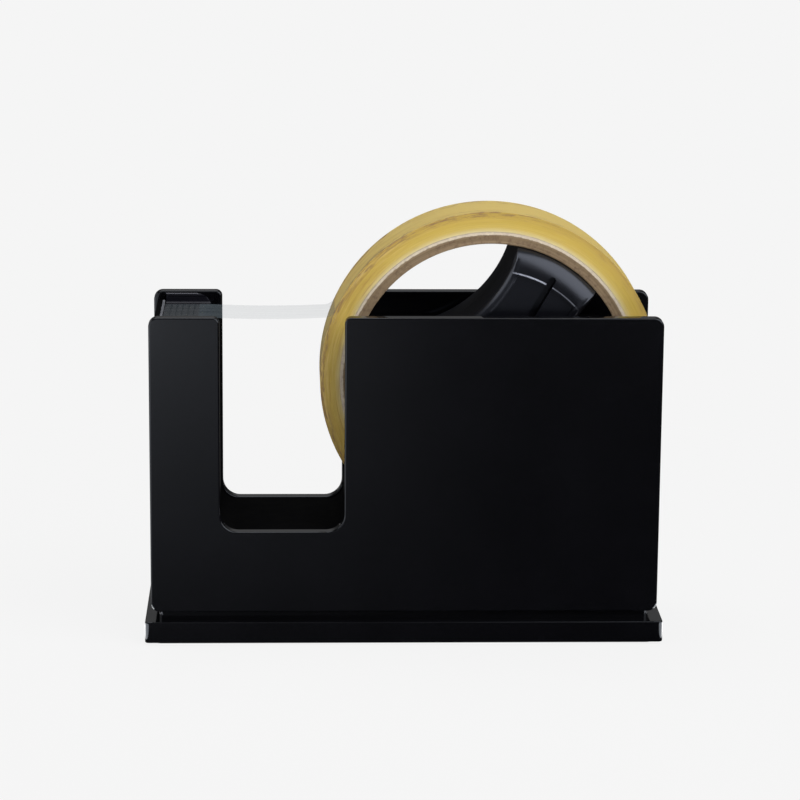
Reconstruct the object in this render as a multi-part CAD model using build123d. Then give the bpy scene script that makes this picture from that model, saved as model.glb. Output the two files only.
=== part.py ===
"""Desk tape dispenser for a wide-core roll, built from its separate pieces.

Two glossy side panels sandwich a hollow inner frame that stands on a flat weighted base.
A finger notch passes through panels and frame between the cutter tower and the roll well.
The roll sits on a three-lobed reel hub, whose axle lies in two saddles open at the top.

Millimetres. The origin is the middle of the footprint on the desk: +X runs from the cutter
towards the roll, +Y from the front panel to the rear panel, and +Z up.
"""

import os
from math import sqrt

from build123d import *

# Side panels
PANEL_LENGTH = 140.0
PANEL_THICKNESS = 3.4
PANEL_HEIGHT = 82.8
PANEL_CORNER = 2.5
PANEL_EDGE = 0.5            # bevel round both faces
BODY_WIDTH = 42.0

# Finger notch through the body
NOTCH_START = 19.2          # from the cutter end of the panels to the notch
NOTCH_WIDTH = 34.0
NOTCH_DEPTH = 60.0
NOTCH_CORNER = 5.0
NOTCH_MOUTH = 1.8
NOTCH_SETBACK = 0.4         # inner frame behind the panel edges

# Base
BASE_OVERHANG_END = 1.7     # slab beyond the panels at each end
BASE_OVERHANG_SIDE = 1.2
BASE_THICKNESS = 5.95
BASE_CORNER = 1.2
BASE_EDGE = 0.4
PLINTH_HEIGHT = 2.6
PLINTH_INSET = 2.2          # plinth behind the panel faces: the shadow gap
FOOT_DROP = 0.65            # pad below the slab
FOOT_SEAT = 0.5             # pad let into the slab
FOOT_INSET = 2.0
FOOT_CORNER = 2.5

# Inner frame
FRAME_END_INSET = 0.9
FRAME_WALL = 2.0
FRAME_FLOOR_EDGE = 4.6      # radius of the notch floor corners in the frame
END_WALL = 1.8              # tower wall at the cutter end
END_WALL_DROP = 2.4         # its top below the panel tops
LIP_DROP = 4.8              # tower wall at the notch, below the panel tops
SHELF_DROP = 12.0           # shelf that carries the cutter head, below the panel tops
SHELF_THICKNESS = 2.0
NOTCH_WALL_RISE = 9.0       # wall between notch and well, above the notch floor
ROLL_END_RISE = 41.0        # wall at the roll end, above the frame's foot

# Roll of tape
CORE_BORE = 76.0
CORE_WALL = 3.3
TAPE_BUILD = 5.45           # thickness of tape on the core
TAPE_WIDTH = 19.0
ROLL_X = 23.4
ROLL_DROP = 19.6            # roll axis below the panel tops
WELL_GAP = 2.2              # between the roll and the well floor
CORE_GAP = 0.05             # between winding and core

# Free end of the tape
TAIL_THICKNESS = 0.12
TAIL_DROP = 2.2             # middle of the strand below the panel tops
TAIL_REST_GAP = 0.04
TAIL_ROLL_GAP = 0.3
TAIL_BLADE_GAP = 0.2

# Reel hub and axle
HUB_CORE_GAP = 0.1
HUB_LOBES = 3
HUB_FIRST_LOBE = 60.0       # degrees from +X, in the XZ plane
HUB_WAIST = 17.5            # hub radius between the lobes
HUB_FLANK = 34.0            # radius of the hollow between two lobes
HUB_FACE_RADIUS = 31.1      # where the rounded shoulder meets the face
HUB_SEAT_MARGIN = 0.5       # straight seat beyond each edge of the core
HUB_WALL = 1.8
HUB_FACE_RECESS = 0.5
HUB_BORDER = 2.2            # raised border round the recessed face
HUB_HALF_GAP = 0.05
BORE_BOSS_RADIUS = 7.0
SLOT_WIDTH = 2.0
SLOT_INNER = 21.0
SLOT_OUTER = 33.9
HUB_SCREW_CIRCLE = 12.0
HUB_SCREW_BOSS = 2.9
AXLE_RADIUS = 3.0
AXLE_CHAMFER = 0.4
RUNNING_GAP = 0.05
WASHER_RADIUS = 6.0
WASHER_THICKNESS = 0.8
WASHER_GAP = 0.35           # end play on each side of a washer

# Axle saddles
SADDLE_THICKNESS = 2.0
SADDLE_HALF_LENGTH = 34.5
SADDLE_DROP = 6.6           # top edge below the panel tops
SADDLE_CORNER = 4.0
SADDLE_MOUTH = 1.6          # lead-in chamfer of the axle slot
SADDLE_TAB_X = 26.0
SADDLE_TAB_Z = 4.0

# Cutter head and blade
HEAD_RIM_DROP = 0.5         # rim of the head below the panel tops
HEAD_RIM_WIDTH = 0.8
HEAD_NOSE = 5.0             # rounding of the rim towards the notch
HEAD_COVE = 2.0             # radius between the basin's floor and its side walls
REST_LENGTH = 9.8
REST_HEIGHT = 1.0           # tape rest above the basin
REST_RIBS = 6
RIB_GROOVE = 0.5
HEAD_WALL = 1.8
HEAD_BOSS = 2.7
HEAD_SCREW_Y = 9.0
BLADE_THICKNESS = 0.6
BLADE_WIDTH = 22.0
BLADE_HEIGHT = 9.2
BLADE_TEETH = 20
TOOTH_HEIGHT = 0.8
BLADE_PROUD = 0.9           # tooth tips above the tape
BLADE_STAKE_RADIUS = 1.0
BLADE_STAKE_Y = 8.0
BLADE_STAKE_DROP = 5.6      # stakes below the tooth tips

# Ballast
BALLAST_TOWER_HEIGHT = 50.0
BALLAST_WIDTH = 27.0
BALLAST_GAP = 0.6
BALLAST_HEIGHT = 11.0
BALLAST_END_GAP = 3.5       # between the long bar and the frame's screw bosses
BALLAST_CORNER = 1.5

# Fasteners
FIT = 0.1                   # clearance of pieces that drop into each other
TAB_SIZE = 3.2              # square locating tabs of frame and saddles
TAB_LENGTH = 1.5
SCREW_RADIUS = 1.3
SCREW_HEAD_RADIUS = 2.6
SCREW_HEAD_HEIGHT = 1.7
SCREW_HEAD_DEPTH = 2.0      # counterbore depth above the pad's seat
SCREW_BITE = 10.0
SCREW_GAP = 0.05
SOCKET_SHARE = 0.5          # hexagon socket across its corners, as a share of the head
HUB_SCREW_RADIUS = 1.0
HUB_SCREW_HEAD = 1.9
BASE_SCREW_BOSS = 3.0
BASE_SCREW_BOSS_HEIGHT = 12.0
BASE_SCREW_BLEND = 0.4      # how far a boss runs into the frame's side wall
BASE_SCREW_LEFT = -45.5
BASE_SCREW_RIGHT = 60.5

# Levels and places that follow from the sizes above
SLAB_BOTTOM = FOOT_DROP
SLAB_TOP = SLAB_BOTTOM + BASE_THICKNESS
BODY_FOOT = SLAB_TOP + PLINTH_HEIGHT
BODY_TOP = BODY_FOOT + PANEL_HEIGHT
PANEL_END = PANEL_LENGTH / 2
PANEL_OUTER = BODY_WIDTH / 2
PANEL_INNER = PANEL_OUTER - PANEL_THICKNESS
NOTCH_LEFT = -PANEL_END + NOTCH_START
NOTCH_RIGHT = NOTCH_LEFT + NOTCH_WIDTH
NOTCH_FLOOR = BODY_TOP - NOTCH_DEPTH
FRAME_END = PANEL_END - FRAME_END_INSET
TOWER_INNER = -FRAME_END + END_WALL
LIP_OUTER = NOTCH_LEFT - NOTCH_SETBACK
LIP_INNER = LIP_OUTER - FRAME_WALL
SHELF_TOP = BODY_TOP - SHELF_DROP
ROLL_Z = BODY_TOP - ROLL_DROP
CORE_INNER_RADIUS = CORE_BORE / 2
CORE_OUTER_RADIUS = CORE_INNER_RADIUS + CORE_WALL
ROLL_RADIUS = CORE_OUTER_RADIUS + CORE_GAP + TAPE_BUILD
WELL_RADIUS = ROLL_RADIUS + WELL_GAP
NOTCH_WALL_TOP = NOTCH_FLOOR + NOTCH_WALL_RISE
ROLL_END_TOP = BODY_FOOT + ROLL_END_RISE
TAIL_Z = BODY_TOP - TAIL_DROP
REST_Z = TAIL_Z - TAIL_THICKNESS / 2 - TAIL_REST_GAP
BASIN_Z = REST_Z - REST_HEIGHT
BLADE_LEFT = TOWER_INNER + FIT
BLADE_RIGHT = BLADE_LEFT + BLADE_THICKNESS
BLADE_TIP = TAIL_Z + TAIL_THICKNESS / 2 + BLADE_PROUD
HEAD_LEFT = BLADE_RIGHT + FIT
HEAD_RIGHT = LIP_INNER - FIT
HEAD_SCREW_X = (HEAD_LEFT + HEAD_RIGHT) / 2
HUB_RADIUS = CORE_INNER_RADIUS - HUB_CORE_GAP
HUB_SEAT = TAPE_WIDTH / 2 + HUB_SEAT_MARGIN
SADDLE_OUTER = PANEL_INNER - FIT
SADDLE_INNER = SADDLE_OUTER - SADDLE_THICKNESS
AXLE_HALF = SADDLE_OUTER - FIT
HUB_HALF = SADDLE_INNER - 2 * WASHER_GAP - WASHER_THICKNESS
BASE_SCREW_Y = PANEL_INNER - FRAME_WALL - BASE_SCREW_BOSS + BASE_SCREW_BLEND
PAD_TOP = SLAB_BOTTOM + FOOT_SEAT
BALLAST_FROM = BASE_SCREW_LEFT + BASE_SCREW_BOSS + BALLAST_END_GAP
BALLAST_TO = BASE_SCREW_RIGHT - BASE_SCREW_BOSS - BALLAST_END_GAP


def place_in_xz(sketch, y):
    """Stand a sketch drawn as (x, z) upright at the given y, facing the front."""
    return Plane((0, y, 0), x_dir=(1, 0, 0), z_dir=(0, -1, 0)) * sketch


def slab_y(sketch, y_low, y_high):
    """Solid with an (x, z) outline between two y planes."""
    return extrude(place_in_xz(sketch, y_high), amount=y_high - y_low, dir=(0, -1, 0))


def box(x_low, x_high, y_low, y_high, z_low, z_high):
    """Plain block between two corners."""
    size = (x_high - x_low, y_high - y_low, z_high - z_low)
    middle = ((x_low + x_high) / 2, (y_low + y_high) / 2, (z_low + z_high) / 2)
    return Pos(*middle) * Box(*size)


def rectangle(x_low, x_high, z_low, z_high):
    """Sketch rectangle between two corners."""
    return Pos((x_low + x_high) / 2, (z_low + z_high) / 2) * Rectangle(x_high - x_low, z_high - z_low)


def corners(sketch, places):
    """Vertices of a sketch that lie at the given (x, z) places."""
    reach = 0.01
    return [v for v in sketch.vertices() if any(abs(v.X - x) + abs(v.Y - z) < reach for x, z in places)]


def rod_y(x, z, radius, y_low, y_high):
    """Round rod along Y."""
    return slab_y(Pos(x, z) * Circle(radius), y_low, y_high)


def tab_y(x, z, size, y_low, y_high):
    """Square tab along Y."""
    return box(x - size / 2, x + size / 2, y_low, y_high, z - size / 2, z + size / 2)


def rod_z(x, y, radius, z_low, z_high):
    """Round rod along Z."""
    return Pos(x, y, z_low) * extrude(Circle(radius), amount=z_high - z_low)


def socket_screw(x, y, z_seat, shank, radius, head_radius, head_height):
    """Hexagon-socket screw driven upwards, with its head below z_seat."""
    head = rod_z(x, y, head_radius, z_seat - head_height, z_seat)
    hexagon = RegularPolygon(head_radius * SOCKET_SHARE, 6)
    socket = Pos(x, y, z_seat - head_height) * extrude(hexagon, amount=head_height / 2)
    return head + rod_z(x, y, radius, z_seat, z_seat + shank) - socket


# Side panels ---------------------------------------------------------------------------------

def frame_tab_places():
    """Where the frame's tabs locate each side panel."""
    tower_x = (-FRAME_END + LIP_OUTER) / 2
    low = BODY_FOOT + FRAME_WALL + 1.5 * TAB_SIZE
    return [
        (tower_x, low),
        (tower_x, SHELF_TOP - SHELF_THICKNESS - 1.5 * TAB_SIZE),
        ((NOTCH_LEFT + NOTCH_RIGHT) / 2, low),
        (FRAME_END - FRAME_WALL - 1.5 * TAB_SIZE, low),
    ]


def saddle_tab_places():
    """Where each saddle's tabs enter its side panel."""
    return [(ROLL_X + side * SADDLE_TAB_X, ROLL_Z + SADDLE_TAB_Z) for side in (-1, 1)]


def panel_outline():
    outline = rectangle(-PANEL_END, PANEL_END, BODY_FOOT, BODY_TOP)
    outline -= rectangle(NOTCH_LEFT, NOTCH_RIGHT, NOTCH_FLOOR, BODY_TOP + 1)
    ends = [(x, z) for x in (-PANEL_END, PANEL_END) for z in (BODY_FOOT, BODY_TOP)]
    outline = fillet(corners(outline, ends), PANEL_CORNER)
    outline = fillet(corners(outline, [(NOTCH_LEFT, NOTCH_FLOOR), (NOTCH_RIGHT, NOTCH_FLOOR)]), NOTCH_CORNER)
    return fillet(corners(outline, [(NOTCH_LEFT, BODY_TOP), (NOTCH_RIGHT, BODY_TOP)]), NOTCH_MOUTH)


def side_panel(side):
    """One glossy side panel: side is -1 at the front and +1 at the rear."""
    low, high = sorted((side * PANEL_INNER, side * PANEL_OUTER))
    panel = slab_y(panel_outline(), low, high)
    faces = panel.faces().filter_by(Axis.Y).sort_by(Axis.Y)
    panel = chamfer(faces[0].edges() + faces[-1].edges(), PANEL_EDGE)
    socket = sorted((side * PANEL_INNER, side * (PANEL_INNER + TAB_LENGTH + FIT)))
    for x, z in frame_tab_places() + saddle_tab_places():
        panel -= tab_y(x, z, TAB_SIZE + 2 * FIT, *socket)
    return panel


# Inner frame ---------------------------------------------------------------------------------

def frame_outline(inset):
    """Side outline of the frame, drawn in by a wall thickness for its cavity."""
    foot = BODY_FOOT if inset == 0 else BODY_FOOT - 1
    outline = rectangle(-FRAME_END + inset, FRAME_END - inset, foot, SHELF_TOP - inset)
    notch = rectangle(
        LIP_OUTER - inset,
        NOTCH_RIGHT + NOTCH_SETBACK + inset,
        NOTCH_FLOOR - NOTCH_SETBACK - inset,
        BODY_TOP,
    )
    floor_z = NOTCH_FLOOR - NOTCH_SETBACK - inset
    floor = [(LIP_OUTER - inset, floor_z), (NOTCH_RIGHT + NOTCH_SETBACK + inset, floor_z)]
    notch = fillet(corners(notch, floor), FRAME_FLOOR_EDGE + inset)
    outline -= notch
    outline -= Pos(ROLL_X, ROLL_Z) * Circle(WELL_RADIUS + inset)
    middle = (NOTCH_LEFT + NOTCH_RIGHT) / 2
    outline -= rectangle(middle, ROLL_X, NOTCH_WALL_TOP - inset, BODY_TOP)
    outline -= rectangle(ROLL_X, PANEL_END, ROLL_END_TOP - inset, BODY_TOP)
    return outline


def inner_frame():
    frame = slab_y(frame_outline(0), -PANEL_INNER, PANEL_INNER)
    inside = PANEL_INNER - FRAME_WALL
    frame -= slab_y(frame_outline(FRAME_WALL), -inside, inside)
    end_wall = rectangle(-FRAME_END, TOWER_INNER, SHELF_TOP - 1, BODY_TOP - END_WALL_DROP)
    end_wall = fillet(corners(end_wall, [(-FRAME_END, BODY_TOP - END_WALL_DROP)]), END_WALL * 0.6)
    lip = rectangle(LIP_INNER, LIP_OUTER, SHELF_TOP - 1, BODY_TOP - LIP_DROP)
    lip = fillet(corners(lip, [(LIP_OUTER, BODY_TOP - LIP_DROP)]), FRAME_WALL * 0.6)
    frame += slab_y(end_wall + lip, -PANEL_INNER, PANEL_INNER)
    for x, y in base_screw_places():
        frame += rod_z(x, y, BASE_SCREW_BOSS, BODY_FOOT, BODY_FOOT + BASE_SCREW_BOSS_HEIGHT)
        frame -= rod_z(x, y, SCREW_RADIUS + SCREW_GAP, BODY_FOOT, BODY_FOOT + SCREW_BITE + 1)
    for y in (-HEAD_SCREW_Y, HEAD_SCREW_Y):
        frame -= rod_z(HEAD_SCREW_X, y, SCREW_RADIUS + FIT, SHELF_TOP - SHELF_THICKNESS, SHELF_TOP)
    for x, z in frame_tab_places():
        for side in (-1, 1):
            reach = sorted((side * (PANEL_INNER - FRAME_WALL), side * (PANEL_INNER + TAB_LENGTH)))
            frame += tab_y(x, z, TAB_SIZE, *reach)
    return frame


# Base ----------------------------------------------------------------------------------------

def base_screw_places():
    return [(x, y) for x in (BASE_SCREW_LEFT, BASE_SCREW_RIGHT) for y in (-BASE_SCREW_Y, BASE_SCREW_Y)]


def ballast_screw_places():
    third = (BALLAST_TO - BALLAST_FROM) / 4
    return [((TOWER_INNER + LIP_INNER) / 2, 0), (BALLAST_FROM + third, 0), (BALLAST_TO - third, 0)]


def rounded_block(half_x, half_y, corner, z_low, z_high):
    """Flat block about the origin with rounded upright corners."""
    return Pos(0, 0, z_low) * extrude(RectangleRounded(2 * half_x, 2 * half_y, corner), amount=z_high - z_low)


def base_plate():
    half_x = PANEL_END + BASE_OVERHANG_END
    half_y = PANEL_OUTER + BASE_OVERHANG_SIDE
    plate = rounded_block(half_x, half_y, BASE_CORNER, SLAB_BOTTOM, SLAB_TOP)
    plate = chamfer(plate.faces().sort_by(Axis.Z)[-1].edges(), BASE_EDGE)
    plinth_x = PANEL_END - PLINTH_INSET
    plinth_y = PANEL_OUTER - PLINTH_INSET
    plate += rounded_block(plinth_x, plinth_y, BASE_CORNER, SLAB_TOP - 1, BODY_FOOT)
    seat_x = half_x - FOOT_INSET + FIT
    seat_y = half_y - FOOT_INSET + FIT
    plate -= rounded_block(seat_x, seat_y, FOOT_CORNER + FIT, SLAB_BOTTOM, PAD_TOP)
    for x, y in base_screw_places() + ballast_screw_places():
        plate -= rod_z(x, y, SCREW_HEAD_RADIUS + FIT, PAD_TOP, PAD_TOP + SCREW_HEAD_DEPTH)
        plate -= rod_z(x, y, SCREW_RADIUS + FIT, PAD_TOP, BODY_FOOT)
    return plate


def foot_pad():
    half_x = PANEL_END + BASE_OVERHANG_END - FOOT_INSET
    half_y = PANEL_OUTER + BASE_OVERHANG_SIDE - FOOT_INSET
    return rounded_block(half_x, half_y, FOOT_CORNER, 0, PAD_TOP)


def base_screws(places, bite):
    """Screws from below, with their heads let into the slab."""
    seat = PAD_TOP + SCREW_HEAD_DEPTH
    shank = BODY_FOOT - seat + bite
    return [
        socket_screw(x, y, seat, shank, SCREW_RADIUS, SCREW_HEAD_RADIUS, SCREW_HEAD_HEIGHT)
        for x, y in places
    ]


def ballast_bar(x_low, x_high, height):
    """Cast bar on the plinth, drilled for its screws."""
    half = BALLAST_WIDTH / 2
    bar = box(x_low, x_high, -half, half, BODY_FOOT, BODY_FOOT + height)
    bar = fillet(bar.edges().filter_by(Axis.Z), BALLAST_CORNER)
    for x, y in ballast_screw_places():
        if x_low < x < x_high:
            bar -= rod_z(x, y, SCREW_RADIUS + SCREW_GAP, BODY_FOOT, BODY_FOOT + BALLAST_HEIGHT * 0.8)
    return bar


# Cutter head ---------------------------------------------------------------------------------

def cutter_head():
    """Moulded head: a basin with coved side walls round a ribbed rest for the tape."""
    half = PANEL_INNER - FIT
    rim = BODY_TOP - HEAD_RIM_DROP
    rest_half = TAPE_WIDTH / 2 + FIT
    basin_half = half - HEAD_RIM_WIDTH

    head = box(HEAD_LEFT, HEAD_RIGHT, -half, half, SHELF_TOP, rim)
    nose = head.edges().filter_by(Axis.Y).group_by(Axis.Z)[-1].sort_by(Axis.X)[-1]
    head = fillet(nose, HEAD_NOSE)
    basin = box(HEAD_LEFT, HEAD_RIGHT, -basin_half, basin_half, BASIN_Z, rim)
    head -= fillet(basin.edges().filter_by(Axis.X).group_by(Axis.Z)[0], HEAD_COVE)

    rest_end = HEAD_LEFT + REST_LENGTH
    head += box(HEAD_LEFT, rest_end, -rest_half, rest_half, BASIN_Z, REST_Z)
    pitch = REST_LENGTH / REST_RIBS
    for index in range(1, REST_RIBS):
        x = HEAD_LEFT + index * pitch
        head -= box(x, x + RIB_GROOVE, -rest_half, rest_half, REST_Z - RIB_GROOVE, REST_Z)
    lip_z = BODY_TOP - LIP_DROP
    ramp = Polygon((rest_end, BASIN_Z), (HEAD_RIGHT, lip_z), (HEAD_RIGHT, BASIN_Z), align=None)
    ramp_half = basin_half - HEAD_COVE
    head -= slab_y(ramp, -ramp_half, ramp_half)

    inner_y = half - HEAD_WALL
    ceiling = lip_z - HEAD_WALL
    head -= box(HEAD_LEFT + HEAD_WALL, HEAD_RIGHT - HEAD_WALL, -inner_y, inner_y, SHELF_TOP, ceiling)
    for y in (-HEAD_SCREW_Y, HEAD_SCREW_Y):
        head += rod_z(HEAD_SCREW_X, y, HEAD_BOSS, SHELF_TOP, ceiling + 0.5)
        head -= rod_z(HEAD_SCREW_X, y, SCREW_RADIUS + SCREW_GAP, SHELF_TOP, ceiling - 0.5)
    stake_z = BLADE_TIP - BLADE_STAKE_DROP
    for y in (-BLADE_STAKE_Y, BLADE_STAKE_Y):
        stake = Pos(HEAD_LEFT - (BLADE_THICKNESS + FIT) / 2, y, stake_z) * Rot(0, 90, 0)
        head += stake * Cylinder(BLADE_STAKE_RADIUS, BLADE_THICKNESS + FIT)
    return head


def cutter_blade():
    """Upright steel blade with a row of teeth across the tape."""
    half = BLADE_WIDTH / 2
    low = BLADE_TIP - BLADE_HEIGHT
    root = BLADE_TIP - TOOTH_HEIGHT
    pitch = BLADE_WIDTH / BLADE_TEETH
    points = [(-half, low), (-half, root)]
    for index in range(BLADE_TEETH):
        left = -half + index * pitch
        points += [(left + pitch / 2, BLADE_TIP), (left + pitch, root)]
    points.append((half, low))
    face = Polygon(*points, align=None)
    for y in (-BLADE_STAKE_Y, BLADE_STAKE_Y):
        face -= Pos(y, BLADE_TIP - BLADE_STAKE_DROP) * Circle(BLADE_STAKE_RADIUS + SCREW_GAP)
    upright = Plane((BLADE_LEFT, 0, 0), x_dir=(0, 1, 0), z_dir=(1, 0, 0))
    return extrude(upright * face, amount=BLADE_THICKNESS, dir=(1, 0, 0))


def head_screws():
    seat = SHELF_TOP - SHELF_THICKNESS
    ceiling = BODY_TOP - LIP_DROP - HEAD_WALL
    shank = ceiling - 1 - seat
    return [
        socket_screw(HEAD_SCREW_X, y, seat, shank, SCREW_RADIUS, SCREW_HEAD_RADIUS, SCREW_HEAD_HEIGHT)
        for y in (-HEAD_SCREW_Y, HEAD_SCREW_Y)
    ]


# Axle saddles --------------------------------------------------------------------------------

def axle_saddle(side):
    """Upright plate in the well, with a slot that is open at the top for the axle."""
    top = BODY_TOP - SADDLE_DROP
    outline = rectangle(ROLL_X - SADDLE_HALF_LENGTH, ROLL_X + SADDLE_HALF_LENGTH, ROLL_Z - WELL_RADIUS, top)
    outline = outline & (Pos(ROLL_X, ROLL_Z) * Circle(WELL_RADIUS - FIT))
    tips = [(ROLL_X + end * SADDLE_HALF_LENGTH, top) for end in (-1, 1)]
    outline = fillet(corners(outline, tips), SADDLE_CORNER)
    slot = AXLE_RADIUS + RUNNING_GAP
    outline -= Pos(ROLL_X, ROLL_Z) * Circle(slot)
    outline -= rectangle(ROLL_X - slot, ROLL_X + slot, ROLL_Z, top)
    outline = chamfer(corners(outline, [(ROLL_X - slot, top), (ROLL_X + slot, top)]), SADDLE_MOUTH)
    low, high = sorted((side * SADDLE_INNER, side * SADDLE_OUTER))
    saddle = slab_y(outline, low, high)
    for x, z in saddle_tab_places():
        reach = sorted((side * SADDLE_INNER, side * (PANEL_INNER + TAB_LENGTH)))
        saddle += tab_y(x, z, TAB_SIZE, *reach)
    return saddle


# Reel ----------------------------------------------------------------------------------------

def lobed(radius, grow):
    """Three-lobed outline about the roll axis: a disc with hollows between its lobes."""
    outline = Circle(radius)
    step = 360 / HUB_LOBES
    for index in range(HUB_LOBES):
        turn = HUB_FIRST_LOBE + (index + 0.5) * step
        outline -= Rot(0, 0, turn) * Pos(HUB_WAIST + HUB_FLANK, 0) * Circle(HUB_FLANK + grow)
    return Pos(ROLL_X, ROLL_Z) * outline


def hub_turned():
    """Turned body of the hub from its middle to its front face, with the rounded shoulder."""
    seat = HUB_SEAT
    face = HUB_HALF
    rim = HUB_RADIUS
    top = HUB_FACE_RADIUS
    bulge = (top + (rim - top) * sqrt(0.5), seat + (face - seat) * sqrt(0.5))
    shoulder = ThreePointArc((rim, -seat), (bulge[0], -bulge[1]), (top, -face))
    lines = Polyline((top, -face), (0, -face), (0, 0), (rim, 0), (rim, -seat))
    profile = make_face(Plane.XY * (lines + shoulder))
    return Pos(ROLL_X, 0, ROLL_Z) * revolve(profile, Axis.Y)


def hub_screw_places():
    """Screw bosses in the waist, between the lobes."""
    step = 360 / HUB_LOBES
    turns = [HUB_FIRST_LOBE + (index + 0.5) * step for index in range(HUB_LOBES)]
    spots = [Vector(HUB_SCREW_CIRCLE, 0).rotate(Axis.Z, turn) for turn in turns]
    return [(ROLL_X + spot.X, ROLL_Z + spot.Y) for spot in spots]


def front_hub_half():
    """Hollow front half of the reel hub: face, lobed rim wall, bearing boss and screw bosses."""
    face = -HUB_HALF
    split = -HUB_HALF_GAP / 2
    hub = hub_turned() & slab_y(lobed(HUB_RADIUS, 0), face, split)
    hub -= slab_y(lobed(HUB_RADIUS - HUB_WALL, HUB_WALL), -HUB_SEAT, 0)
    hub -= slab_y(lobed(HUB_FACE_RADIUS - HUB_WALL, HUB_WALL), face + HUB_WALL, 0)
    recess = lobed(HUB_FACE_RADIUS - HUB_HALF_GAP - HUB_WALL / 2, HUB_BORDER)
    recess -= Pos(ROLL_X, ROLL_Z) * Circle(BORE_BOSS_RADIUS)
    hub -= slab_y(recess, face, face + HUB_FACE_RECESS)
    inner_face = face + HUB_WALL
    hub += rod_y(ROLL_X, ROLL_Z, BORE_BOSS_RADIUS, inner_face - 0.5, split)
    for x, z in hub_screw_places():
        hub += rod_y(x, z, HUB_SCREW_BOSS, inner_face - 0.5, split)
        hub -= rod_y(x, z, HUB_SCREW_RADIUS + SCREW_GAP, face + 2 * HUB_WALL, split)
    hub -= rod_y(ROLL_X, ROLL_Z, AXLE_RADIUS + RUNNING_GAP, face, split)
    length = SLOT_OUTER - SLOT_INNER
    for index in range(HUB_LOBES):
        turn = HUB_FIRST_LOBE + index * 360 / HUB_LOBES
        slot = Rot(0, 0, turn) * Pos((SLOT_OUTER + SLOT_INNER) / 2, 0) * SlotOverall(length, SLOT_WIDTH)
        hub -= slab_y(Pos(ROLL_X, ROLL_Z) * slot, face, inner_face + HUB_WALL)
    return hub


def rear_hub_half(front):
    """Rear half: the front half mirrored, with its bosses bored through for the screws."""
    hub = mirror(front, Plane.XZ)
    face = HUB_HALF
    for x, z in hub_screw_places():
        hub -= rod_y(x, z, HUB_SCREW_RADIUS + FIT, HUB_HALF_GAP / 2, face)
        hub -= rod_y(x, z, HUB_SCREW_HEAD + FIT, face - HUB_WALL, face)
    return hub


def hub_screws():
    seat = HUB_HALF - HUB_WALL
    tip = -HUB_HALF + 2 * HUB_WALL + 0.5
    screws = []
    for x, z in hub_screw_places():
        head = rod_y(x, z, HUB_SCREW_HEAD, seat, seat + HUB_WALL * 0.7)
        screws.append(head + rod_y(x, z, HUB_SCREW_RADIUS, tip, seat))
    return screws


def reel_axle():
    axle = rod_y(ROLL_X, ROLL_Z, AXLE_RADIUS, -AXLE_HALF, AXLE_HALF)
    return chamfer(axle.edges().filter_by(GeomType.CIRCLE), AXLE_CHAMFER)


def axle_washer(side):
    """Thin washer between the hub and a saddle."""
    near = side * (HUB_HALF + WASHER_GAP)
    far = side * (HUB_HALF + WASHER_GAP + WASHER_THICKNESS)
    low, high = sorted((near, far))
    ring = Circle(WASHER_RADIUS) - Circle(AXLE_RADIUS + RUNNING_GAP)
    return slab_y(Pos(ROLL_X, ROLL_Z) * ring, low, high)


def roll_ring(inner, outer):
    half = TAPE_WIDTH / 2
    return slab_y(Pos(ROLL_X, ROLL_Z) * (Circle(outer) - Circle(inner)), -half, half)


def tape_tail():
    """Straight strand from the roll to the blade."""
    half = TAPE_WIDTH / 2
    left = BLADE_RIGHT + TAIL_BLADE_GAP
    strip = box(left, ROLL_X, -half, half, TAIL_Z - TAIL_THICKNESS / 2, TAIL_Z + TAIL_THICKNESS / 2)
    return strip - rod_y(ROLL_X, ROLL_Z, ROLL_RADIUS + TAIL_ROLL_GAP, -half, half)


def make_parts():
    """Every piece by the name of its node."""
    tower_left = TOWER_INNER + BALLAST_GAP
    tower_right = LIP_INNER - BALLAST_GAP
    front_half = front_hub_half()
    return {
        "front_panel": side_panel(-1),
        "rear_panel": side_panel(1),
        "inner_frame": inner_frame(),
        "base_plate": base_plate(),
        "foot_pad": foot_pad(),
        "base_screws": base_screws(base_screw_places(), SCREW_BITE),
        "ballast_bar": ballast_bar(BALLAST_FROM, BALLAST_TO, BALLAST_HEIGHT),
        "ballast_tower": ballast_bar(tower_left, tower_right, BALLAST_TOWER_HEIGHT),
        "ballast_screws": base_screws(ballast_screw_places(), BALLAST_HEIGHT * 0.7),
        "cutter_head": cutter_head(),
        "cutter_blade": cutter_blade(),
        "head_screws": head_screws(),
        "front_saddle": axle_saddle(-1),
        "rear_saddle": axle_saddle(1),
        "reel_axle": reel_axle(),
        "front_washer": axle_washer(-1),
        "rear_washer": axle_washer(1),
        "front_hub_half": front_half,
        "rear_hub_half": rear_hub_half(front_half),
        "hub_screws": hub_screws(),
        "tape_core": roll_ring(CORE_INNER_RADIUS, CORE_OUTER_RADIUS),
        "tape_winding": roll_ring(CORE_OUTER_RADIUS + CORE_GAP, ROLL_RADIUS),
        "tape_tail": tape_tail(),
    }


def main():
    os.makedirs("parts", exist_ok=True)
    for name, shape in make_parts().items():
        solid = Compound(children=shape) if isinstance(shape, list) else shape
        export_step(solid, f"parts/{name}.step")


if __name__ == "__main__":
    main()
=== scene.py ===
"""Looks of a desk tape dispenser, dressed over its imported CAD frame.

Metres, in the row's own frame: +X runs from the cutter to the roll, +Y from the front panel to
the rear one, and +Z up. Lengths are written in millimetres and multiplied by MM. Only the
materials round the roll axis work in plain millimetres, as RollShader says.
"""

import random
from math import atan2, ceil, cos, pi, radians, sin, sqrt

import bmesh
import bpy
from mathutils import Matrix, Vector

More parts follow.
